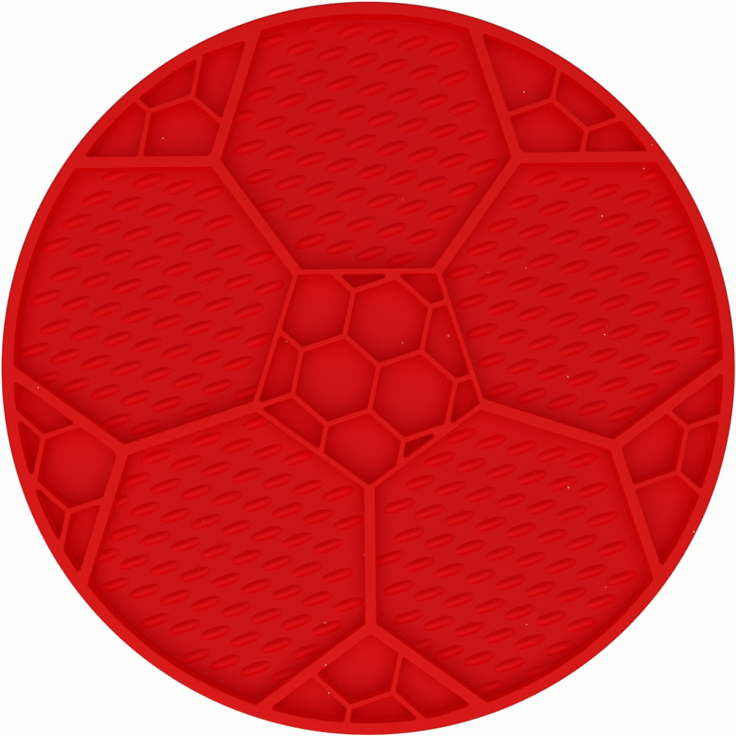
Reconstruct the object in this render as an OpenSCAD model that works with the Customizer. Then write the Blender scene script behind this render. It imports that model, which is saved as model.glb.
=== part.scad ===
// Round silicone lick mat with a football pattern.
// One flat sheet carries a rim, a centre pentagon, five spokes and five open
// edge pentagons. The pentagons hold honeycomb ribs, and the five panels
// between them hold slanted rice-grain nubs.
// The mat lies on the XY plane, centred on the Z axis, pattern up.

/* [Mat] */
// Diameter of the mat over its rim
mat_d = 200; // [170:1:240]
// Height from the table to the tops of the rim, walls and ribs
mat_h = 8; // [6:0.5:12]
// Thickness of the flat sheet under the pattern
sheet_t = 2; // [1.2:0.1:3]
// Rounding of the outer edges, above and below
edge_round = 0.5; // [0.2:0.1:0.8]

/* [Rim and walls] */
// Width of the rim
rim_w = 3.6; // [2.5:0.1:6]
// Width of the spokes and of the edge pentagons' walls
wall_w = 3.3; // [2:0.1:4.5]
// Break along the top edges of the rim and the walls
lip_round = 0.3; // [0.3:0.05:0.5]
// How far each face leans out between its lip and its foot
wall_draft = 0.15; // [0.05:0.05:0.4]
// Rounding of the inside corner of each edge pentagon
edge_corner_r = 2; // [1:0.1:4]

/* [Football pattern] */
// Centre of the mat to a corner of the middle pentagon
pentagon_r = 32.7; // [26:0.1:40]
// Width of the middle pentagon's wall
pentagon_wall_w = 1.7; // [1.2:0.1:3]
// From the mat's edge in to the meeting of a spoke and an edge pentagon
edge_pentagon_depth = 29.7; // [24:0.1:34]

/* [Honeycomb] */
// Distance between the centres of neighbouring cells
cell_pitch = 21.4; // [16:0.1:30]
// Width of the ribs between the cells
rib_w = 1.7; // [1:0.1:2.5]
// Break along the top edges of the ribs
rib_round = 0.25; // [0.1:0.05:0.25]
// Turn of the rows of cells
cell_turn = -12; // [-30:1:30]
// Centre of the cell nearest to the middle, to the right of it
cell_x = -8.9; // [-12:0.1:12]
// Centre of the cell nearest to the middle, above it
cell_y = -3.1; // [-12:0.1:12]

/* [Nubs] */
// Distance between the centres of neighbouring nubs
nub_pitch = 8.56; // [8.4:0.01:12]
// Length of a nub
nub_l = 8.4; // [5:0.1:8.5]
// Width of a nub, which is twice its height
nub_w = 2.5; // [1.5:0.1:3]
// Turn of a nub's length
nub_turn = 18; // [-30:1:30]
// Turn of the rows of nubs
nub_row_turn = -12; // [-30:1:30]
// Centre of the nub nearest to the middle of the lattice, to the right of it
nub_x = -2.45; // [-4:0.05:4]
// Centre of the nub nearest to the middle of the lattice, above it
nub_y = -5.5; // [-6:0.05:6]
// Least distance from a nub's centre to a spoke or to the middle pentagon
nub_inner_gap = 2; // [1:0.1:4]
// Least distance from a nub's centre to an edge pentagon or to the rim
nub_outer_gap = 0.67; // [0.25:0.01:3]

/* [Hidden] */

silicone_red = "#d21716";
// Corners of the football pattern, counted anticlockwise from the bottom one
corners = 5;
sector = 360 / corners;
first_corner = -90;
// Turn of an edge pentagon's two walls away from its spoke
edge_wall_turn = 90 - sector / 2;
// Steps in the rounding of a lip, of an outer edge, of an edge pentagon's corner and of a nub
lip_steps = 1;
edge_steps = 3;
corner_steps = 4;
nub_steps = 8;
// Angle at which a nub's oval outline stops short of its tips
nub_tip_angle = 10;
round_fn = 180;
small_fn = 48;
// Overrun of the shapes that cut
over = 1;
// Sides of a cell, and the lattice steps that cover the mat
cell_sides = 6;
cell_reach = ceil(mat_d / cell_pitch);
nub_reach = ceil(mat_d / nub_pitch);
// Nubs closer to a wall than that, most of them cut off by it, as steps along the rows
close_nubs = [[-4, 6], [12, 9], [9, -4], [3, -10], [-10, -13], [8, 9], [-10, -9]];

mat_r = mat_d / 2;
junction_r = mat_r - edge_pentagon_depth;
wall_h = mat_h - sheet_t;
rim_mid_r = mat_r - rim_w / 2;
rim_foot_r = mat_r - rim_w - wall_draft;
wall_foot = wall_w / 2 + wall_draft;
pentagon_apothem = pentagon_r * cos(sector / 2);
pentagon_foot_r = pentagon_apothem + pentagon_wall_w / 2 + wall_draft;
cell_r = cell_pitch / 2 / cos(180 / cell_sides);
// Along an edge pentagon's wall, from its junction to the middle of the rim
edge_wall_l = sqrt(pow(rim_mid_r, 2) - pow(junction_r * sin(edge_wall_turn), 2))
    - junction_r * cos(edge_wall_turn);

function unit(a) = [cos(a), sin(a)];
function turned(p, a) = [p[0] * cos(a) - p[1] * sin(a), p[0] * sin(a) + p[1] * cos(a)];
function corner_turn(k) = first_corner + (k - 1) * sector;
function arc(centre, r, from, to, steps) =
    [for (i = [0:steps]) centre + r * unit(from + (to - from) * i / steps)];
function lattice(pitch, turn, skew, i, j) = pitch * (i * unit(turn) + j * unit(turn + skew));

// Honeycomb cells and their corners
function cell_centre(i, j) = [cell_x, cell_y] + lattice(cell_pitch, cell_turn, 60, i, j);
function cell_corner(centre, m) = centre + cell_r * unit(cell_turn + (m + 0.5) * 360 / cell_sides);

// How far a point lies inside the middle pentagon or an edge pentagon
function inside_pentagon(p) =
    pentagon_apothem - max([for (k = [1:corners]) p * unit(corner_turn(k) + sector / 2)]);
function inside_edge(q) = min(
    (q[0] - junction_r) * sin(edge_wall_turn) - abs(q[1]) * cos(edge_wall_turn),
    mat_r - norm(q)
);
function inside_cluster(p, k) = k == 0 ? inside_pentagon(p) : inside_edge(turned(p, -corner_turn(k)));

// Clearances of a point in a panel that starts at the X axis and ends a sector further on
function across(q) = turned([q[0], -q[1]], sector);
function spoke_gap(q) = q[1] - wall_foot;
function edge_gap(q) =
    q[1] * cos(edge_wall_turn) - (q[0] - junction_r) * sin(edge_wall_turn) - wall_foot;
function inner_gap(q) =
    min(spoke_gap(q), spoke_gap(across(q)), q * unit(sector / 2) - pentagon_foot_r);
function outer_gap(q) = min(edge_gap(q), edge_gap(across(q)), rim_foot_r - norm(q));

// Nubs
function nub_centre(i, j) = [nub_x, nub_y] + lattice(nub_pitch, nub_row_turn, -120, i, j);
function is_close(i, j) = len([for (n = close_nubs) if (n == [i, j]) n]) > 0;
function holds_nub(q, i, j) =
    (inner_gap(q) > nub_inner_gap && outer_gap(q) > nub_outer_gap)
    || (is_close(i, j) && inner_gap(q) > 0 && outer_gap(q) > -nub_w / 2);

// Section across a wall that stands on the sheet, run on above and below where it cuts
function wall_section(width, extra) = concat(
    [[-width / 2 - wall_draft, -extra], [width / 2 + wall_draft, -extra]],
    extra > 0 ? [[width / 2 + wall_draft, 0]] : [],
    arc([width / 2 - lip_round, wall_h - lip_round], lip_round, 0, 90, lip_steps),
    extra > 0 ? [[width / 2 - lip_round, wall_h + extra], [lip_round - width / 2, wall_h + extra]] : [],
    arc([lip_round - width / 2, wall_h - lip_round], lip_round, 90, 180, lip_steps),
    extra > 0 ? [[-width / 2 - wall_draft, 0]] : []
);

// A straight wall from the origin along X
module wall(length, width, extra = 0) {
    translate([0, 0, sheet_t])
        rotate([90, 0, 90])
            linear_extrude(length)
                polygon(wall_section(width, extra));
}

module at_corner(k) {
    rotate(corner_turn(k))
        children();
}

module base_sheet() {
    color(silicone_red)
        rotate_extrude($fn = round_fn)
            polygon(concat(
                [[0, 0]],
                arc([mat_r - edge_round, edge_round], edge_round, -90, 0, edge_steps),
                [[mat_r, sheet_t], [0, sheet_t]]
            ));
}

module outer_rim(extra = 0) {
    inner_lip = mat_r - rim_w + lip_round;
    outer_lip = mat_r - edge_round;
    color(silicone_red)
        rotate_extrude($fn = round_fn)
            polygon(concat(
                extra > 0 ? [[rim_foot_r, sheet_t]] : [],
                [[rim_foot_r, sheet_t - extra], [mat_r, sheet_t - extra]],
                arc([outer_lip, mat_h - edge_round], edge_round, 0, 90, edge_steps),
                extra > 0 ? [[outer_lip, mat_h + extra], [inner_lip, mat_h + extra]] : [],
                arc([inner_lip, mat_h - lip_round], lip_round, 90, 180, lip_steps)
            ));
}

// Five straight walls, each run on at its corners far enough to close the mitre
module centre_pentagon_wall(extra = 0) {
    side = 2 * pentagon_r * sin(sector / 2);
    run_on = pentagon_wall_w / 2 * tan(sector / 2);
    color(silicone_red)
        for (k = [1:corners])
            rotate(corner_turn(k) + sector / 2)
                translate([pentagon_apothem, -side / 2 - run_on, 0])
                    rotate(90)
                        wall(side + 2 * run_on, pentagon_wall_w, extra);
}

// Rounds the inside corner of an edge pentagon, its ends just inside the two walls
module edge_corner_fill(extra) {
    round_x = (wall_w / 2 + edge_corner_r) / sin(edge_wall_turn);
    sweep = 90 - edge_wall_turn;
    translate([junction_r, 0, sheet_t - extra])
        linear_extrude(wall_h + 2 * extra)
            polygon(concat(
                [[0, 0]],
                arc([round_x, 0], edge_corner_r + wall_draft / 2, 180 + sweep, 180 - sweep, corner_steps)
            ));
}

// Two walls that spread from a junction and run on into the rim
module edge_wall_pair(k, extra = 0) {
    run_on = wall_w / 4;
    at_corner(k)
        translate([junction_r, 0, 0])
            for (side = [-1, 1])
                rotate(side * edge_wall_turn)
                    translate([-run_on, 0, 0])
                        wall(edge_wall_l + run_on, wall_w, extra);
    at_corner(k)
        edge_corner_fill(extra);
}

module edge_wall(k) {
    color(silicone_red)
        difference() {
            edge_wall_pair(k);
            outer_rim(over);
        }
}

module spoke_wall(k) {
    start = pentagon_r - pentagon_wall_w / 4;
    color(silicone_red)
        difference() {
            at_corner(k)
                translate([start, 0, 0])
                    wall(junction_r - start, wall_w);
            centre_pentagon_wall(over);
            edge_wall_pair(k, over);
        }
}

// One cell, open above and below: three slots that cross, each as wide as the cell between its ribs
module cell(centre) {
    gap = (cell_pitch - rib_w) / 2;
    run = 2 * over;
    translate([centre[0], centre[1], sheet_t])
        intersection_for (m = [0:2])
            rotate(cell_turn + (m + 0.5) * 360 / cell_sides)
                translate([-cell_pitch, 0, 0])
                    rotate([90, 0, 90])
                        linear_extrude(2 * cell_pitch)
                            polygon([
                                [wall_draft - gap, -run], [gap - wall_draft, -run], [gap - wall_draft, 0],
                                [gap, wall_h - rib_round], [gap + rib_round, wall_h],
                                [gap + rib_round, wall_h + run], [-gap - rib_round, wall_h + run],
                                [-gap - rib_round, wall_h], [-gap, wall_h - rib_round], [wall_draft - gap, 0]
                            ]);
}

// Every cell of the lattice that reaches into one cluster: 0 is the middle, 1 to 5 the edges
module cells(k) {
    margin = cell_pitch / 4;
    for (i = [-cell_reach:cell_reach], j = [-cell_reach:cell_reach]) {
        centre = cell_centre(i, j);
        reach = max([for (m = [1:cell_sides]) inside_cluster(cell_corner(centre, m), k)]);
        if (max(inside_cluster(centre, k), reach) > -margin)
            cell(centre);
    }
}

// The space up to a wall whose face stands square to X
module beside_wall(face) {
    translate([0, mat_r, sheet_t])
        rotate([90, 0, 0])
            linear_extrude(mat_d)
                polygon([
                    [-mat_r, 0], [face - wall_draft, 0], [face, wall_h - lip_round],
                    [face + lip_round, wall_h], [-mat_r, wall_h]
                ]);
}

// Turns a wall's face square to X onto one of an edge pentagon's two walls
module for_side(k, side) {
    at_corner(k)
        translate([junction_r, 0, 0])
            rotate(side * (90 + edge_wall_turn))
                children();
}

// The space inside the rim
module beside_rim() {
    face = mat_r - rim_w;
    rotate_extrude($fn = round_fn)
        polygon([
            [0, sheet_t], [rim_foot_r, sheet_t], [face, mat_h - lip_round],
            [face + lip_round, mat_h], [0, mat_h]
        ]);
}

module centre_honeycomb() {
    color(silicone_red)
        difference() {
            intersection_for (k = [1:corners])
                rotate(corner_turn(k) + sector / 2)
                    beside_wall(pentagon_apothem - pentagon_wall_w / 2);
            cells(0);
        }
}

module edge_honeycomb(k) {
    color(silicone_red)
        difference() {
            intersection() {
                beside_rim();
                for_side(k, 1)
                    beside_wall(-wall_w / 2);
                for_side(k, -1)
                    beside_wall(-wall_w / 2);
            }
            at_corner(k)
                edge_corner_fill(over);
            cells(k);
        }
}

// Half a spindle along X, flat side down
module nub() {
    rotate([90, 0, 90])
        rotate_extrude(angle = 180, $fn = small_fn)
            polygon(concat(
                [[0, nub_l / 2 * cos(nub_tip_angle)]],
                [
                    for (i = [0:nub_steps])
                        let (a = nub_tip_angle + (180 - 2 * nub_tip_angle) * i / nub_steps)
                        [nub_w / 2 * sin(a), nub_l / 2 * cos(a)]
                ],
                [[0, -nub_l / 2 * cos(nub_tip_angle)]]
            ));
}

// The bare floor of the panel that starts at the X axis
module panel_floor() {
    first = [(pentagon_foot_r - wall_foot * sin(sector / 2)) / cos(sector / 2), wall_foot];
    knee = [junction_r - wall_foot * (1 - cos(edge_wall_turn)) / sin(edge_wall_turn), wall_foot];
    far = knee + (edge_wall_l + wall_w) * unit(edge_wall_turn);
    side = [first, knee, far];
    intersection() {
        polygon(concat(
            side,
            [mat_r * unit(sector / 2)],
            [for (n = [2:-1:0]) across(side[n])]
        ));
        circle(r = rim_foot_r, $fn = round_fn);
    }
}

// The nubs of the panel that follows a corner anticlockwise
module nub_field(k) {
    color(silicone_red)
        translate([0, 0, sheet_t])
            intersection() {
                for (i = [-nub_reach:nub_reach], j = [-nub_reach:nub_reach]) {
                    centre = nub_centre(i, j);
                    if (holds_nub(turned(centre, -corner_turn(k)), i, j))
                        translate([centre[0], centre[1], 0])
                            rotate(nub_turn)
                                nub();
                }
                at_corner(k)
                    linear_extrude(nub_w)
                        panel_floor();
            }
}

base_sheet();
outer_rim();
centre_pentagon_wall();
centre_honeycomb();
for (k = [1:corners]) {
    spoke_wall(k);
    edge_wall(k);
    edge_honeycomb(k);
    nub_field(k);
}
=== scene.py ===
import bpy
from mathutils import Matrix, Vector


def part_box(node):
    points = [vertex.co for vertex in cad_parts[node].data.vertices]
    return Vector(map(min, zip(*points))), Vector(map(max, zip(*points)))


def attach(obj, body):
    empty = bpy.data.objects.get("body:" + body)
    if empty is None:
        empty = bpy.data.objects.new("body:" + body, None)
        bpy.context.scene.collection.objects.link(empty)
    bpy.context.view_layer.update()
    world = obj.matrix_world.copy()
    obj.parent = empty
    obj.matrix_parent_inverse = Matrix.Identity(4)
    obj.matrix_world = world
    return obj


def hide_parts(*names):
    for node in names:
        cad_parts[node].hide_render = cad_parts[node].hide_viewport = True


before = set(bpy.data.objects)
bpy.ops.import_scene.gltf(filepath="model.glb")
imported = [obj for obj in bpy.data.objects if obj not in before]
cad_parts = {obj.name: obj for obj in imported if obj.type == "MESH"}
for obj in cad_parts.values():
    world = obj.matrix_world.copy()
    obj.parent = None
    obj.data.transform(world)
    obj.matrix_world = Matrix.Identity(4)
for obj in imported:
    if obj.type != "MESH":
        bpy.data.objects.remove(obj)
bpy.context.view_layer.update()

import cmath
import math

import bmesh
import bpy
from mathutils import Vector
from mathutils.geometry import delaunay_2d_cdt

# Sizes are in millimetres and angles in degrees, except where a note says metres

mm = 0.001
rimLow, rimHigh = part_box("outer_rim")
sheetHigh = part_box("base_sheet")[1]
leastReach = min(rimHigh.x, rimHigh.y, -rimLow.x, -rimLow.y)

mat = {
    "radius": math.floor(leastReach / mm * 100) / 100,  # rounded down, so as not to pass the solids
    "top": round(rimHigh.z / mm, 2),
    "floor": round(sheetHigh.z / mm, 2),
    "topRound": 0.9,  # rounding of the outer edge above
    "bottomRound": 0.5,  # and below
    "edgeSteps": 6,
    "aroundSteps": 720,
}
football = {
    "corners": 5,
    "firstCorner": -90,  # the middle pentagon's bottom corner
    "pentagonRadius": 32.7,
    "edgePentagonDepth": 29.7,
}
walls = {
    "rimWidth": 3.6,
    "spokeWidth": 3.3,
    "pentagonWidth": 1.7,
    "ribWidth": 1.7,
    "draft": 0.12,  # how far a face leans out by its foot
    "lip": 0.42,  # rounding along the tops
    "foot": 0.36,  # hollow rounding where a wall meets the floor
    "corner": 0.5,  # rounding of the pockets' upright corners, at least draft and foot together
    "edgeCorner": 2.0,  # rounding in the point of an edge pentagon
    "edgeCornerSteps": 12,
    "lipSteps": 5,
    "footSteps": 6,
    "cornerStep": 10,
    "smoothTurn": 8,  # a turn smaller than this is part of a curve
    "leastSide": 0.002,  # a shorter side of a pocket is left out
    "longestSeam": 8,  # wall ends farther apart than this don't belong together
    "leastBend": 0.1,  # sine of the bend below which a seam is straight
}
honeycomb = {
    "pitch": 21.4,
    "turn": -12,
    "x": -8.9,  # middle of one cell
    "y": -3.1,
    "leastPocket": 0.3,  # area below which the ribs close up
    "leastCut": 3,  # area that a rib has to cut off, or the corner stays open
    "noCut": 0.01,  # area below which a rib cuts off nothing
}

sector = 360 / football["corners"]
corners = range(1, football["corners"] + 1)
edgeWallTurn = 90 - sector / 2
junction = mat["radius"] - football["edgePentagonDepth"]  # where a spoke meets an edge pentagon
apothem = football["pentagonRadius"] * math.cos(math.radians(sector / 2))


# Points in the plan of the mat are complex numbers: x + y * 1j

def unit(angle):
    return cmath.rect(1, math.radians(angle))


def along(point, direction):
    return (point * direction.conjugate()).real


def cross(a, b):
    return (a.conjugate() * b).imag


def cornerTurn(k):
    return football["firstCorner"] + (k - 1) * sector


# Each pocket between the walls is cut out by sides: (direction of the side, its distance, its wall)

def centreSides():
    reach = apothem - walls["pentagonWidth"] / 2
    return [(cornerTurn(k) + sector / 2, reach, "centre_pentagon_wall") for k in corners]


def edgeSides(k):
    wall = f"edge_wall_{k}"
    point = junction * unit(cornerTurn(k))
    sides = []
    for hand in (-1, 1):
        angle = cornerTurn(k) + hand * (90 + edgeWallTurn)
        sides.append((angle, along(point, unit(angle)) - walls["spokeWidth"] / 2, wall))
    back = (walls["spokeWidth"] / 2 + walls["edgeCorner"]) / math.sin(math.radians(edgeWallTurn))
    middle = (junction + back) * unit(cornerTurn(k))
    sweep = 90 - edgeWallTurn
    steps = walls["edgeCornerSteps"]
    for step in range(1, steps):
        angle = cornerTurn(k) + 180 - sweep + 2 * sweep * step / steps
        sides.append((angle, along(middle, unit(angle)) + walls["edgeCorner"], wall))
    return sides


def panelSides(k):
    following = k % football["corners"] + 1
    innerReach = -apothem - walls["pentagonWidth"] / 2
    spokeReach = -walls["spokeWidth"] / 2
    edgeReach = junction * math.cos(math.radians(sector / 2)) - walls["spokeWidth"] / 2
    return [
        (cornerTurn(k) + sector / 2 + 180, innerReach, "centre_pentagon_wall"),
        (cornerTurn(k) - 90, spokeReach, f"spoke_wall_{k}"),
        (cornerTurn(following) + 90, spokeReach, f"spoke_wall_{following}"),
        (cornerTurn(k) - sector / 2, edgeReach, f"edge_wall_{k}"),
        (cornerTurn(following) + sector / 2, edgeReach, f"edge_wall_{following}"),
    ]


def cellSides(middle, wall):
    reach = (honeycomb["pitch"] - walls["ribWidth"]) / 2
    angles = [honeycomb["turn"] + 60 * m for m in range(6)]
    return [(angle, along(middle, unit(angle)) + reach, wall) for angle in angles]


def cellMiddles():
    reach = math.ceil(2 * mat["radius"] / honeycomb["pitch"])
    rows = range(-reach, reach + 1)
    first = complex(honeycomb["x"], honeycomb["y"])
    across, up = unit(honeycomb["turn"]), unit(honeycomb["turn"] + 60)
    middles = [first + honeycomb["pitch"] * (i * across + j * up) for i in rows for j in rows]
    return [m for m in middles if abs(m) < mat["radius"] + honeycomb["pitch"]]


def clip(outline, angle, distance, wall):
    # an outline is a list of (point, wall of the side that starts there)
    direction = unit(angle)
    kept = []
    for n, (point, side) in enumerate(outline):
        nextPoint = outline[(n + 1) % len(outline)][0]
        here = distance - along(point, direction)
        there = distance - along(nextPoint, direction)
        if here >= 0:
            kept.append((point, side))
            if there < 0:
                kept.append((point + (nextPoint - point) * here / (here - there), wall))
        elif there > 0:
            kept.append((point + (nextPoint - point) * here / (here - there), side))
    return kept


def coreOutline(sides):
    # the pocket's outline, drawn in by the rounding of its corners
    shrink = walls["corner"]
    radius = mat["radius"] - walls["rimWidth"] - shrink
    steps = mat["aroundSteps"]
    outline = [(radius * unit(360 * n / steps), "outer_rim") for n in range(steps)]
    for angle, distance, wall in sides:
        outline = clip(outline, angle, distance - shrink, wall)
    pairs = zip(outline, outline[1:] + outline[:1])
    return [spot for spot, after in pairs if abs(spot[0] - after[0]) > walls["leastSide"]]


def outlineArea(outline):
    points = [point for point, wall in outline]
    return sum(cross(points[n - 1], points[n]) for n in range(len(points))) / 2


def cellOutline(middle, ribs, sides):
    # a rib that would cut off only a small corner of its cell is left out
    kept = cellSides(middle, ribs)
    area = outlineArea(coreOutline(kept + sides))
    for side in list(kept):
        rest = [other for other in kept if other != side]
        gained = outlineArea(coreOutline(rest + sides)) - area
        if honeycomb["noCut"] < gained < honeycomb["leastCut"]:
            kept, area = rest, area + gained
    return coreOutline(kept + sides)


def rank(wall):
    # a wall that comes first here runs through, and a later one ends against it
    order = [
        "outer_rim",
        "edge_wall",
        "centre_pentagon_wall",
        "spoke_wall",
        "centre_honeycomb",
        "edge_honeycomb",
    ]
    return next(n for n, name in enumerate(order) if wall.startswith(name))


def sideAngle(start, end):
    return math.degrees(cmath.phase((end - start) / 1j))


def roundedSpots(outline):
    # (core point, direction, wall of the stretch up to the next spot), all the way round a pocket
    spots = []
    count = len(outline)
    for n, (point, wall) in enumerate(outline):
        before, wallBefore = outline[n - 1]
        after = outline[(n + 1) % count][0]
        start = sideAngle(before, point)
        turn = (sideAngle(point, after) - start) % 360
        if turn < walls["smoothTurn"]:
            spots.append((point, start + turn / 2, wall))
            continue
        cornerWall = max(wall, wallBefore, key=rank)
        steps = math.ceil(turn / walls["cornerStep"])
        spots += [(point, start + turn * step / steps, cornerWall) for step in range(steps)]
        spots.append((point, start + turn, wall))
    return spots


def makePockets():
    pockets = [roundedSpots(coreOutline(panelSides(k))) for k in corners]
    clusters = [(centreSides(), "centre_honeycomb")]
    clusters += [(edgeSides(k), f"edge_honeycomb_{k}") for k in corners]
    for sides, ribs in clusters:
        for middle in cellMiddles():
            outline = coreOutline(cellSides(middle, ribs) + sides)
            if len(outline) > 2 and outlineArea(outline) > honeycomb["leastPocket"]:
                pockets.append(roundedSpots(cellOutline(middle, ribs, sides)))
    return pockets


def quarter(steps):
    # the angles of a quarter round, in radians
    return [math.radians(90 * step / steps) for step in range(steps + 1)]


def wallProfile():
    # (distance out from the core, height, how far the surface faces in, and up), from the top down
    lip, foot, corner, draft = walls["lip"], walls["foot"], walls["corner"], walls["draft"]
    profile = []
    for turn in quarter(walls["lipSteps"]):
        reach = corner + lip - lip * math.sin(turn)
        height = mat["top"] - lip + lip * math.cos(turn)
        profile.append((reach, height, math.sin(turn), math.cos(turn)))
    for turn in quarter(walls["footSteps"]):
        reach = corner - draft - foot + foot * math.cos(turn)
        height = mat["floor"] + foot - foot * math.sin(turn)
        profile.append((reach, height, math.cos(turn), math.sin(turn)))
    return profile


def rimProfile():
    # (radius, height, how far the surface faces out, and up), from the top down to the sheet
    edge = mat["topRound"]
    profile = []
    for turn in quarter(mat["edgeSteps"]):
        radius = mat["radius"] - edge + edge * math.sin(turn)
        height = mat["top"] - edge + edge * math.cos(turn)
        profile.append((radius, height, math.sin(turn), math.cos(turn)))
    profile.append((mat["radius"], mat["floor"], 1, 0))
    return profile


def sheetProfile():
    # the same for the sheet, from its top down to the table
    edge = mat["bottomRound"]
    profile = [(mat["radius"], mat["floor"], 1, 0)]
    for turn in quarter(mat["edgeSteps"]):
        radius = mat["radius"] - edge + edge * math.cos(turn)
        height = edge - edge * math.sin(turn)
        profile.append((radius, height, math.cos(turn), -math.sin(turn)))
    return profile


def turnedSpot(profile, n, level):
    # a point of a profile turned round the mat, and the way the surface faces there
    radius, height, facingOut, facingUp = profile[level]
    direction = unit(360 * n / mat["aroundSteps"])
    place = radius * direction
    normal = (facingOut * direction.real, facingOut * direction.imag, facingUp)
    return (place.real, place.imag, height), normal


def wallEnds(pockets, starts):
    # where the wall beside a pocket changes: point number, pocket, facing, and the two walls
    ends = []
    for p, spots in enumerate(pockets):
        for j, (point, angle, wall) in enumerate(spots):
            before = spots[j - 1][2]
            if before != wall:
                ends.append({
                    "at": starts[p] + j,
                    "pocket": p,
                    "facing": unit(angle),
                    "walls": {before, wall},
                })
    return ends


def joinSeams(ends, topPoints):
    # Where one wall ends against another there are two ends, in two pockets, and a seam between
    # them along the face of the wall that runs through. New points go on topPoints.
    gaps = []
    for n, one in enumerate(ends):
        for two in ends[n + 1:]:
            gap = abs(topPoints[one["at"]] - topPoints[two["at"]])
            matched = one["walls"] == two["walls"] and one["pocket"] != two["pocket"]
            if matched and gap < walls["longestSeam"]:
                gaps.append((gap, one, two))
    used = set()
    seams = []
    for gap, one, two in sorted(gaps, key=lambda found: found[0]):
        a, b = one["at"], two["at"]
        if a in used or b in used:
            continue
        used |= {a, b}
        alongA, alongB = one["facing"] * 1j, two["facing"] * 1j
        bend = cross(alongA, alongB)
        if abs(bend) < walls["leastBend"]:
            seams.append((a, b))
            continue
        corner = topPoints[a] + alongA * cross(topPoints[b] - topPoints[a], alongB) / bend
        topPoints.append(corner)
        seams += [(a, len(topPoints) - 1), (len(topPoints) - 1, b)]
    loose = [end for end in ends if end["at"] not in used]
    return seams + joinThreeWalls(loose, topPoints)


def joinThreeWalls(loose, topPoints):
    # Where three walls meet with no pocket between them there are three ends, and three seams to
    # one point at the face of the rim.
    rimFace = mat["radius"] - walls["rimWidth"] + walls["lip"]
    seams = []
    while loose:
        first = topPoints[loose[0]["at"]]
        near = sorted(loose, key=lambda end: abs(topPoints[end["at"]] - first))[:3]
        inner = next(end for end in near if "outer_rim" not in end["walls"])
        start, direction = topPoints[inner["at"]], inner["facing"] * 1j
        if along(start, direction) < 0:
            direction = -direction
        reach = math.sqrt(rimFace ** 2 - cross(direction, start) ** 2) - along(start, direction)
        topPoints.append(start + reach * direction)
        seams += [(end["at"], len(topPoints) - 1) for end in near]
        loose = [end for end in loose if end not in near]
    return seams


def splitTop(topPoints, rings, rimRing, seams):
    # triangles of the flat top, each with the wall that it belongs to
    owners = {}
    fixed = set()
    for ring in rings:
        for n, (here, wall) in enumerate(ring):
            after = ring[(n + 1) % len(ring)][0]
            owners[(after, here)] = wall
            fixed |= {(here, after), (after, here)}
    for n, here in enumerate(rimRing):
        after = rimRing[(n + 1) % len(rimRing)]
        owners[(here, after)] = "outer_rim"
        fixed |= {(here, after), (after, here)}
    for a, b in seams:
        fixed |= {(a, b), (b, a)}
    edges = [edge for edge in fixed if edge[0] < edge[1]]
    samePoint = 1e-6  # points nearer than this are one
    made = delaunay_2d_cdt([Vector((p.real, p.imag)) for p in topPoints], edges, [], 0, samePoint)
    source = [ids[0] for ids in made[3]]
    triangles = []
    for face in made[2]:
        a, b, c = (source[n] for n in face)
        facing = cross(topPoints[b] - topPoints[a], topPoints[c] - topPoints[a])
        triangles.append((a, b, c) if facing > 0 else (a, c, b))
    atEdge = {}
    for t, (a, b, c) in enumerate(triangles):
        for edge in ((a, b), (b, c), (c, a)):
            atEdge[edge] = t
    wallOf = {}
    waiting = [(atEdge[edge], wall) for edge, wall in owners.items() if edge in atEdge]
    while waiting:
        t, wall = waiting.pop()
        if t in wallOf:
            continue
        wallOf[t] = wall
        a, b, c = triangles[t]
        for x, y in ((a, b), (b, c), (c, a)):
            if (x, y) not in fixed and (y, x) in atEdge:
                waiting.append((atEdge[(y, x)], wall))
    return [(triangles[t], wall) for t, wall in wallOf.items()]


def newShape():
    return {"points": [], "faces": [], "normals": [], "known": {}}


def addFace(shape, spots):
    # spots are (key, point, normal)
    face = []
    for key, point, normal in spots:
        if key not in shape["known"]:
            shape["known"][key] = len(shape["points"])
            shape["points"].append([value * mm for value in point])
        face.append(shape["known"][key])
        shape["normals"].append(normal)
    shape["faces"].append(face)


def addObject(name, data):
    made = bpy.data.objects.new(name, data)
    bpy.context.scene.collection.objects.link(made)
    return made


def makePiece(name, shape, material):
    mesh = bpy.data.meshes.new(name)
    mesh.from_pydata(shape["points"], [], shape["faces"])
    mesh.shade_smooth()
    mesh.normals_split_custom_set(shape["normals"])
    mesh.materials.append(material)
    return addObject(name, mesh)


def standFor(piece, node):
    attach(piece, "root")
    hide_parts(node)


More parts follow.
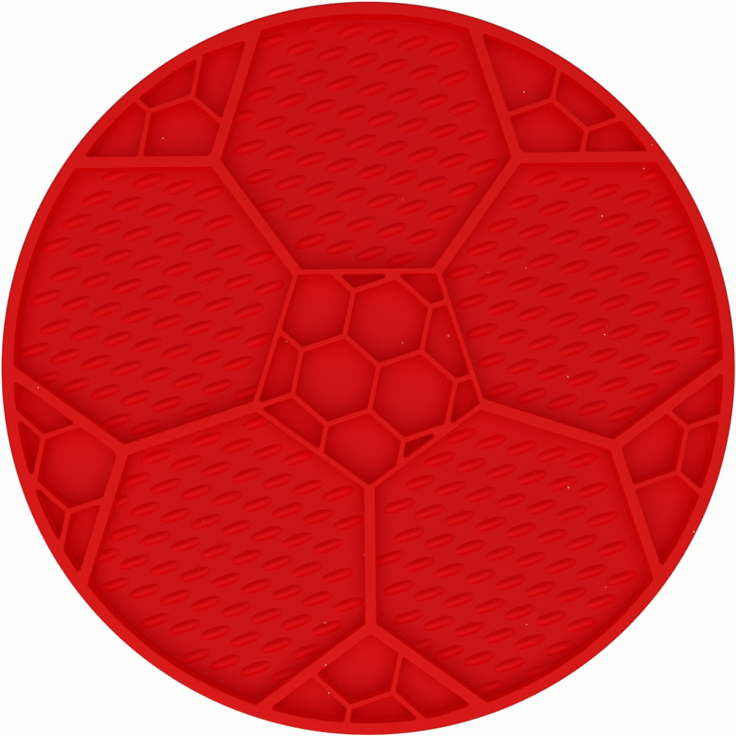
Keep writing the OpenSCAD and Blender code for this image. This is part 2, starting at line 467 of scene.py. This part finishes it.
def makeWalls(material):
    # the rim, walls and ribs, each with its rounded top, leaning sides and hollow foot
    pockets = makePockets()
    profile = wallProfile()
    outer = rimProfile()
    topPoints, rings, starts = [], [], []
    for spots in pockets:
        starts.append(len(topPoints))
        rings.append([(starts[-1] + j, wall) for j, (point, angle, wall) in enumerate(spots)])
        topPoints += [point + profile[0][0] * unit(angle) for point, angle, wall in spots]
    sideSpots = [(point, angle) for spots in pockets for point, angle, wall in spots]
    seams = joinSeams(wallEnds(pockets, starts), topPoints)
    steps = mat["aroundSteps"]
    rimStart = len(topPoints)
    rimRing = list(range(rimStart, rimStart + steps))
    topPoints += [outer[0][0] * unit(360 * n / steps) for n in range(steps)]

    def pocketSpot(index, level):
        reach, height, facingIn, facingUp = profile[level]
        if index >= len(sideSpots):  # the bend of a seam goes straight down
            return (index, level), (topPoints[index].real, topPoints[index].imag, height), None
        point, angle = sideSpots[index]
        direction = unit(angle)
        place = point + reach * direction
        normal = (-facingIn * direction.real, -facingIn * direction.imag, facingUp)
        return (index, level), (place.real, place.imag, height), normal

    def rimSpot(index, level):
        place, normal = turnedSpot(outer, index - rimStart, level)
        return (index, level), place, normal

    def flatSpot(index, atTop):
        if index >= rimStart:
            key, place, own = rimSpot(index, 0 if atTop else len(outer) - 1)
        else:
            key, place, own = pocketSpot(index, 0 if atTop else len(profile) - 1)
        return key, place, (0, 0, 1 if atTop else -1)

    seamEdges = set(seams) | {(b, a) for a, b in seams}
    shapes = {}
    for (a, b, c), wall in splitTop(topPoints, rings, rimRing, seams):
        shape = shapes.setdefault(wall, newShape())
        addFace(shape, [flatSpot(n, True) for n in (a, b, c)])
        addFace(shape, [flatSpot(n, False) for n in (c, b, a)])
        for x, y in ((a, b), (b, c), (c, a)):
            if (x, y) not in seamEdges:
                continue
            away = (topPoints[y] - topPoints[x]) / 1j / abs(topPoints[y] - topPoints[x])
            normal = (away.real, away.imag, 0)
            for level in range(len(profile) - 1):
                spots = [(y, level), (x, level), (x, level + 1), (y, level + 1)]
                placed = [pocketSpot(*spot) for spot in spots]
                addFace(shape, [(key, place, normal) for key, place, own in placed])
    for ring in rings:
        for n, (here, wall) in enumerate(ring):
            after = ring[(n + 1) % len(ring)][0]
            for level in range(len(profile) - 1):
                spots = [(here, level), (after, level), (after, level + 1), (here, level + 1)]
                addFace(shapes[wall], [pocketSpot(*spot) for spot in spots])
    for n, here in enumerate(rimRing):
        after = rimRing[(n + 1) % steps]
        for level in range(len(outer) - 1):
            spots = [(after, level), (here, level), (here, level + 1), (after, level + 1)]
            addFace(shapes["outer_rim"], [rimSpot(*spot) for spot in spots])
    for wall in sorted(shapes):
        standFor(makePiece(f"moulded_{wall}", shapes[wall], material), wall)
    print(len(pockets), "pockets between", len(shapes), "walls")


def makeSheet(material):
    # the flat sheet under everything, its lower edge rounded
    steps = mat["aroundSteps"]
    profile = sheetProfile()
    lowest = len(profile) - 1
    shape = newShape()

    def spot(n, level, normal=None):
        place, own = turnedSpot(profile, n % steps, level)
        return (n % steps, level), place, normal or own

    addFace(shape, [spot(n, 0, (0, 0, 1)) for n in range(steps)])
    addFace(shape, [spot(-n, lowest, (0, 0, -1)) for n in range(steps)])
    for n in range(steps):
        for level in range(lowest):
            around = [(n + 1, level), (n, level), (n, level + 1), (n + 1, level + 1)]
            addFace(shape, [spot(*at) for at in around])
    standFor(makePiece("moulded_base_sheet", shape, material), "base_sheet")
    print("sheet")


nubs = {
    "length": 9.1,
    "width": 3.05,
    "height": 1.25,
    "turn": 18,
    "pitch": 8.56,
    "rowTurn": -12,
    "x": -2.45,  # middle of one nub, from which the rows are counted
    "y": -5.5,
    "innerGap": 2,  # least distance from a spoke or the middle pentagon
    "outerGap": 0.67,  # least distance from an edge pentagon or the rim
    # rows and places of nubs that stand nearer than that
    "close": [(-4, 6), (12, 9), (9, -4), (3, -10), (-10, -13), (8, 9), (-10, -9)],
    "blunt": 2.3,  # 2 gives an oval outline, more rounds its ends
    "soften": 1.12,  # 1 gives a crisp foot, 2 a foot that fades into the floor
    "sunk": 0.05,  # how far it runs on into the sheet, and into a wall that cuts it
    "rings": 12,
    "around": 40,
    "sharpTurn": 50,  # an edge that turns more than this is shaded sharp
}


def bulged(part):
    return math.copysign(abs(part) ** (2 / nubs["blunt"]), part)


def nubRings():
    # one nub as rings of points along X, from near its ridge down into the sheet
    halfLength, halfWidth = nubs["length"] / 2, nubs["width"] / 2
    rings = []
    for step in range(1, nubs["rings"] + 1):
        share = math.sin(math.pi / 2 * step / nubs["rings"])
        rings.append((share, nubs["height"] * (1 - share ** 2) ** nubs["soften"]))
    rings.append((1, -nubs["sunk"]))
    made = []
    for share, height in rings:
        ring = []
        for n in range(nubs["around"]):
            turn = 2 * math.pi * n / nubs["around"]
            x = halfLength * share * bulged(math.cos(turn))
            y = halfWidth * share * bulged(math.sin(turn))
            ring.append((x, y, height))
        made.append(ring)
    return made


def leastGap(point, sides):
    # from a point to the foot of the nearest of these walls
    return min(reach - along(point, unit(angle)) for angle, reach, wall in sides) - walls["draft"]


def nubPlaces(k):
    # the middles of a panel's nubs, each with the walls that may cut it
    sides = panelSides(k)
    inner = [side for side in sides if not side[2].startswith("edge")]
    outer = [side for side in sides if side[2].startswith("edge")]
    rimReach = mat["radius"] - walls["rimWidth"]
    farthest = math.ceil(2 * mat["radius"] / nubs["pitch"])
    first = complex(nubs["x"], nubs["y"])
    across, down = unit(nubs["rowTurn"]), unit(nubs["rowTurn"] - 120)
    places = []
    for i in range(-farthest, farthest + 1):
        for j in range(-farthest, farthest + 1):
            middle = first + nubs["pitch"] * (i * across + j * down)
            if abs(middle) > mat["radius"]:
                continue
            rimSide = (math.degrees(cmath.phase(middle)), rimReach, "outer_rim")
            innerGap = leastGap(middle, inner)
            outerGap = leastGap(middle, outer + [rimSide])
            roomy = innerGap > nubs["innerGap"] and outerGap > nubs["outerGap"]
            close = (i, j) in nubs["close"] and innerGap > 0 and outerGap > -nubs["width"] / 2
            if roomy or close:
                places.append((middle, sides + [rimSide]))
    return places


def cutNub(nub, middle, sides):
    # a nub that reaches a wall ends just inside it
    for angle, distance, wall in sides:
        direction = unit(angle)
        if distance - along(middle, direction) > nubs["length"] / 2:
            continue
        face = (distance + nubs["sunk"]) * direction
        everything = nub.verts[:] + nub.edges[:] + nub.faces[:]
        bmesh.ops.bisect_plane(
            nub, geom=everything, plane_co=(face.real * mm, face.imag * mm, 0),
            plane_no=(direction.real, direction.imag, 0), clear_outer=True,
        )
        opened = [edge for edge in nub.edges if edge.is_boundary]
        bmesh.ops.holes_fill(nub, edges=opened)


def nubCorner(nub, point, height):
    return nub.verts.new((point.real * mm, point.imag * mm, (mat["floor"] + height) * mm))


def makeNub(middle, sides, rings):
    nub = bmesh.new()
    turned = unit(nubs["turn"])
    count = nubs["around"]
    made = []
    for ring in rings:
        made.append([nubCorner(nub, middle + complex(x, y) * turned, z) for x, y, z in ring])
    ridge = nubCorner(nub, middle, nubs["height"])
    for n in range(count):
        after = (n + 1) % count
        nub.faces.new((ridge, made[0][n], made[0][after]))
        for upper, lower in zip(made, made[1:]):
            nub.faces.new((upper[n], lower[n], lower[after], upper[after]))
    nub.faces.new(list(reversed(made[-1])))
    cutNub(nub, middle, sides)
    return nub


def makeNubField(k, rings, material):
    field = bmesh.new()
    places = nubPlaces(k)
    for middle, sides in places:
        nub = makeNub(middle, sides, rings)
        scratch = bpy.data.meshes.new("scratchNub")
        nub.to_mesh(scratch)
        nub.free()
        field.from_mesh(scratch)
        bpy.data.meshes.remove(scratch)
    name = f"moulded_nub_field_{k}"
    mesh = bpy.data.meshes.new(name)
    field.to_mesh(mesh)
    field.free()
    mesh.shade_smooth()
    mesh.set_sharp_from_angle(angle=math.radians(nubs["sharpTurn"]))
    mesh.materials.append(material)
    standFor(addObject(name, mesh), f"nub_field_{k}")
    print(name, len(places), "nubs")


def addNode(tree, kind, inputs, **settings):
    # the settings are the node's own; each input gets a plain value or another node's output
    node = tree.nodes.new(kind)
    for name, value in settings.items():
        setattr(node, name, value)
    for name, part in inputs.items():
        if isinstance(part, bpy.types.NodeSocket):
            tree.links.new(part, node.inputs[name])
        else:
            node.inputs[name].default_value = part
    return node


def combine(tree, operation, first, second, clamped=False):
    inputs = {0: first, 1: second}
    made = addNode(tree, "ShaderNodeMath", inputs, operation=operation, use_clamp=clamped)
    return made.outputs["Value"]


def rising(tree, value, low, high):
    # 0 below low, 1 above high, and smooth between them
    inputs = {"Value": value, "From Min": low, "From Max": high}
    made = addNode(tree, "ShaderNodeMapRange", inputs, interpolation_type="SMOOTHSTEP")
    return made.outputs["Result"]


def blend(tree, first, second, factor, kind="RGBA", mode="MIX"):
    mix = addNode(tree, "ShaderNodeMix", {}, data_type=kind, blend_type=mode)
    sockets = {socket.name: socket for socket in mix.inputs if socket.enabled}
    for name, part in (("A", first), ("B", second), ("Factor", factor)):
        if isinstance(part, bpy.types.NodeSocket):
            tree.links.new(part, sockets[name])
        else:
            sockets[name].default_value = (*part, 1) if isinstance(part, tuple) else part
    return next(socket for socket in mix.outputs if socket.enabled)


def noise(tree, place, scale, detail):
    inputs = {"Vector": place, "Scale": scale, "Detail": detail}
    return addNode(tree, "ShaderNodeTexNoise", inputs).outputs["Fac"]


silicone = {
    "colour": (0.82, 0.0006, 0.0008),
    "deepColour": (0.79, 0.0002, 0.0004),  # in patches where the pigment lies thicker
    "patchScale": 35,  # scales are per metre, and depths in metres
    "patchDetail": 4,
    "floorPaintedShade": (0.76, 1.0, 4.5),  # painted shade: the floor darker, for the shade down in the hollows, and bluer, for a painted reflection
    "floorHeights": (3.3, 4.3),  # where that fades out, up a wall
    "nubPaintedShade": (0.87, 1.0, 4.0),  # lighter painted shade on the nubs and the walls' feet, between the floor's and the tops'
    "nubHeights": (2.0, 2.5),
    "flankPaintedLight": (0.79, 0.0006, 0.0012),  # painted light: an even colour on the walls' sides, standing in for light from inside the silicone
    "topHeights": (7.4, 7.95),  # where the sides pass into the tops
    "edgePaintedShade": (0.78, 0.9, 0.9),  # painted shade: the outer edge darker
    "edgeRadii": (99.0, 99.8),
    "paintedGlowColour": (1.0, 0.0, 0.003),  # painted glow below the tops, standing in for light that has come through the silicone
    "glow": 0.075,
    "shine": 0.09,
    "roughness": 0.4,
    "tooth": (-0.06, 0.08),  # what the grain takes off the roughness and adds to it
    "grainScale": 2600,
    "grainDetail": 3,
    "grainDepth": 0.00001,
    "waveScale": 180,
    "waveDetail": 2,
    "waveDepth": 0.00004,
    "floorRoughness": 0.57,
    "polishHeights": (3.2, 4.0),  # the mould's floor is etched, its walls are polished
    "hollowRoughness": 1.0,  # the floor's haze is gone beside a wall
    "openReach": 6,  # how near a wall has to be for that
    "openShares": (0.5, 0.97),  # how much is open round a point, in a hollow and out of it
    "speckScale": 90,
    "speckShare": 0.84,  # share of the places that are clean
    "speckSize": 0.016,
    "speckColour": (0.95, 0.82, 0.78),
}


def speckMask(tree, place):
    # a few pale grains of dust
    inputs = {"Vector": place, "Scale": silicone["speckScale"]}
    spread = addNode(tree, "ShaderNodeTexVoronoi", inputs, voronoi_dimensions="2D")
    pick = addNode(tree, "ShaderNodeSeparateColor", {"Color": spread.outputs["Color"]})
    size = combine(tree, "MULTIPLY", pick.outputs["Green"], silicone["speckSize"])
    near = combine(tree, "LESS_THAN", spread.outputs["Distance"], size)
    chosen = combine(tree, "GREATER_THAN", pick.outputs["Red"], silicone["speckShare"])
    return combine(tree, "MULTIPLY", near, chosen)


def haze(tree, grain, polished):
    # how rough the surface is
    satin = addNode(tree, "ShaderNodeMapRange", {
        "Value": grain,
        "To Min": silicone["roughness"] + silicone["tooth"][0],
        "To Max": silicone["roughness"] + silicone["tooth"][1],
    }).outputs["Result"]
    rough = blend(tree, silicone["floorRoughness"], satin, polished, kind="FLOAT")
    reach = silicone["openReach"] * mm
    openness = addNode(tree, "ShaderNodeAmbientOcclusion", {"Distance": reach}, samples=1)
    isOpen = addNode(tree, "ShaderNodeMapRange", {
        "Value": openness.outputs["AO"],
        "From Min": silicone["openShares"][0],
        "From Max": silicone["openShares"][1],
    }).outputs["Result"]
    return blend(tree, silicone["hollowRoughness"], rough, isOpen, kind="FLOAT")


def softBumps(tree, place, grain):
    # the mould's fine tooth, and the soft unevenness of the flat faces
    tooth = addNode(tree, "ShaderNodeBump", {"Height": grain, "Distance": silicone["grainDepth"]})
    waves = addNode(tree, "ShaderNodeBump", {
        "Height": noise(tree, place, silicone["waveScale"], silicone["waveDetail"]),
        "Distance": silicone["waveDepth"],
        "Normal": tooth.outputs["Normal"],
    })
    return waves.outputs["Normal"]


def redSilicone():
    material = bpy.data.materials.new("redSilicone")
    material.use_nodes = True
    tree = material.node_tree
    tree.nodes.clear()
    output = tree.nodes.new("ShaderNodeOutputMaterial")
    shader = tree.nodes.new("ShaderNodeBsdfPrincipled")
    tree.links.new(shader.outputs["BSDF"], output.inputs["Surface"])
    place = tree.nodes.new("ShaderNodeTexCoord").outputs["Object"]
    height = addNode(tree, "ShaderNodeSeparateXYZ", {"Vector": place}).outputs["Z"]

    def above(low, high):
        return rising(tree, height, low * mm, high * mm)

    raised = above(*silicone["floorHeights"])
    onTop = above(*silicone["topHeights"])
    flank = combine(tree, "SUBTRACT", raised, onTop)
    flat = addNode(tree, "ShaderNodeVectorMath", {0: place, 1: (1, 1, 0)}, operation="MULTIPLY")
    outward = addNode(tree, "ShaderNodeVectorMath", {0: flat.outputs["Vector"]}, operation="LENGTH")
    edgeRadii = [radius * mm for radius in silicone["edgeRadii"]]
    edgeShadeZone = rising(tree, outward.outputs["Value"], *edgeRadii)

    patches = noise(tree, place, silicone["patchScale"], silicone["patchDetail"])
    pigment = blend(tree, silicone["deepColour"], silicone["colour"], patches)
    # painted shade: darker and bluer on the floor, less so on the nubs and the walls' feet, fading
    # out up the walls
    bumpy = above(*silicone["nubHeights"])
    lowPaintedShade = blend(tree, silicone["floorPaintedShade"], silicone["nubPaintedShade"], bumpy)
    paintedShade = blend(tree, lowPaintedShade, (1, 1, 1), raised)
    shaded = blend(tree, pigment, paintedShade, 1, mode="MULTIPLY")
    # painted light on the walls' sides
    sided = blend(tree, shaded, silicone["flankPaintedLight"], flank)
    # painted shade along the outer edge
    paintedEdgeShade = blend(tree, pigment, silicone["edgePaintedShade"], 1, mode="MULTIPLY")
    edged = blend(tree, sided, paintedEdgeShade, edgeShadeZone)
    dusted = blend(tree, edged, silicone["speckColour"], speckMask(tree, place))
    tree.links.new(dusted, shader.inputs["Base Color"])

    # painted glow everywhere below the tops, except along the outer edge
    outer = combine(tree, "MAXIMUM", onTop, edgeShadeZone)
    inside = combine(tree, "SUBTRACT", 1, outer, clamped=True)
    glowing = combine(tree, "MULTIPLY", inside, silicone["glow"])
    tree.links.new(glowing, shader.inputs["Emission Strength"])
    shader.inputs["Emission Color"].default_value = (*silicone["paintedGlowColour"], 1)

    grain = noise(tree, place, silicone["grainScale"], silicone["grainDetail"])
    polished = above(*silicone["polishHeights"])
    tree.links.new(haze(tree, grain, polished), shader.inputs["Roughness"])
    shader.inputs["Specular IOR Level"].default_value = silicone["shine"]
    tree.links.new(softBumps(tree, place, grain), shader.inputs["Normal"])
    print("silicone")
    return material


def seenRays(tree):
    # 1 for the camera, for reflections and for what is seen through glass, and 0 for the light
    rays = tree.nodes.new("ShaderNodeLightPath").outputs
    seen = combine(tree, "ADD", rays["Is Camera Ray"], rays["Is Glossy Ray"], clamped=True)
    return combine(tree, "ADD", seen, rays["Is Transmission Ray"], clamped=True)


ground = {  # in metres
    "size": 3.0,
    "below": 0.00002,  # just clear of the mat's underside
    "colour": (0.92, 0.92, 0.92),
    "ownWhite": 0.95,  # how much of it looks white by itself
}


def makeGround():
    half, z = ground["size"] / 2, -ground["below"]
    spots = [(-half, -half, z), (half, -half, z), (half, half, z), (-half, half, z)]
    mesh = bpy.data.meshes.new("ground")
    mesh.from_pydata(spots, [], [(0, 1, 2, 3)])
    plane = addObject("ground", mesh)
    material = bpy.data.materials.new("paleGround")
    material.use_nodes = True
    tree = material.node_tree
    tree.nodes.clear()
    output = tree.nodes.new("ShaderNodeOutputMaterial")
    paper = addNode(tree, "ShaderNodeBsdfDiffuse", {"Color": (*ground["colour"], 1)})
    white = tree.nodes.new("ShaderNodeEmission")
    fromAbove = addNode(tree, "ShaderNodeMixShader", {
        "Fac": combine(tree, "MULTIPLY", seenRays(tree), ground["ownWhite"]),
        1: paper.outputs["BSDF"],
        2: white.outputs["Emission"],
    })
    oneSided = addNode(tree, "ShaderNodeMixShader", {  # from below, the mat's underside shows
        "Fac": tree.nodes.new("ShaderNodeNewGeometry").outputs["Backfacing"],
        1: fromAbove.outputs["Shader"],
        2: tree.nodes.new("ShaderNodeBsdfTransparent").outputs["BSDF"],
    })
    tree.links.new(oneSided.outputs["Shader"], output.inputs["Surface"])
    mesh.materials.append(material)
    print("ground")


view = {
    "aboveTop": 388,  # from the tops of the walls up to the lens
    "x": -0.05,
    "y": 0.08,
    "roll": -0.6,
    "pixels": 736,
    "matPixels": 733.5,  # the mat's width in the photograph
    "sensor": 36,
}


def makeCamera():
    camera = bpy.data.cameras.new("overhead")
    camera.sensor_width = view["sensor"]
    matOnSensor = view["sensor"] * view["matPixels"] / view["pixels"]
    lensToEdge = view["aboveTop"] + mat["topRound"]  # down to where the mat is widest
    camera.lens = matOnSensor * lensToEdge / (2 * mat["radius"])
    holder = addObject("overhead", camera)
    holder.location = (view["x"] * mm, view["y"] * mm, (mat["top"] + view["aboveTop"]) * mm)
    holder.rotation_euler = (0, 0, math.radians(view["roll"]))
    bpy.context.scene.camera = holder
    print("camera")


light = {  # in metres and watts
    "sky": 0.2,
    "skySeen": 0.95,  # how bright it looks past the edge of the ground
    "skyColour": (1.0, 1.0, 1.0),
    "softbox": {"place": (0.01, -0.11, 0.75), "size": 1.4, "power": 5.55},
    "sideLamp": {"place": (-0.2, -0.38, 0.3), "size": 0.3, "power": 0.34},
}


def makeLights():
    world = bpy.data.worlds.new("studio")
    world.use_nodes = True
    tree = world.node_tree
    background = tree.nodes["Background"]
    background.inputs["Color"].default_value = (*light["skyColour"], 1)
    strength = addNode(tree, "ShaderNodeMapRange", {
        "Value": seenRays(tree),
        "To Min": light["sky"],
        "To Max": light["skySeen"],
    })
    tree.links.new(strength.outputs["Result"], background.inputs["Strength"])
    bpy.context.scene.world = world
    for name in ("softbox", "sideLamp"):
        lamp = bpy.data.lights.new(name, "AREA")
        lamp.shape = "DISK"
        lamp.size = light[name]["size"]
        lamp.energy = light[name]["power"]
        holder = addObject(name, lamp)
        holder.location = light[name]["place"]
        holder.rotation_euler = (-Vector(light[name]["place"])).to_track_quat("-Z", "Y").to_euler()
    print("lights")


bpy.context.scene.view_settings.view_transform = "Standard"
makeCamera()
red = redSilicone()
makeWalls(red)
makeSheet(red)
nubShape = nubRings()
for k in corners:
    makeNubField(k, nubShape, red)
makeGround()
makeLights()
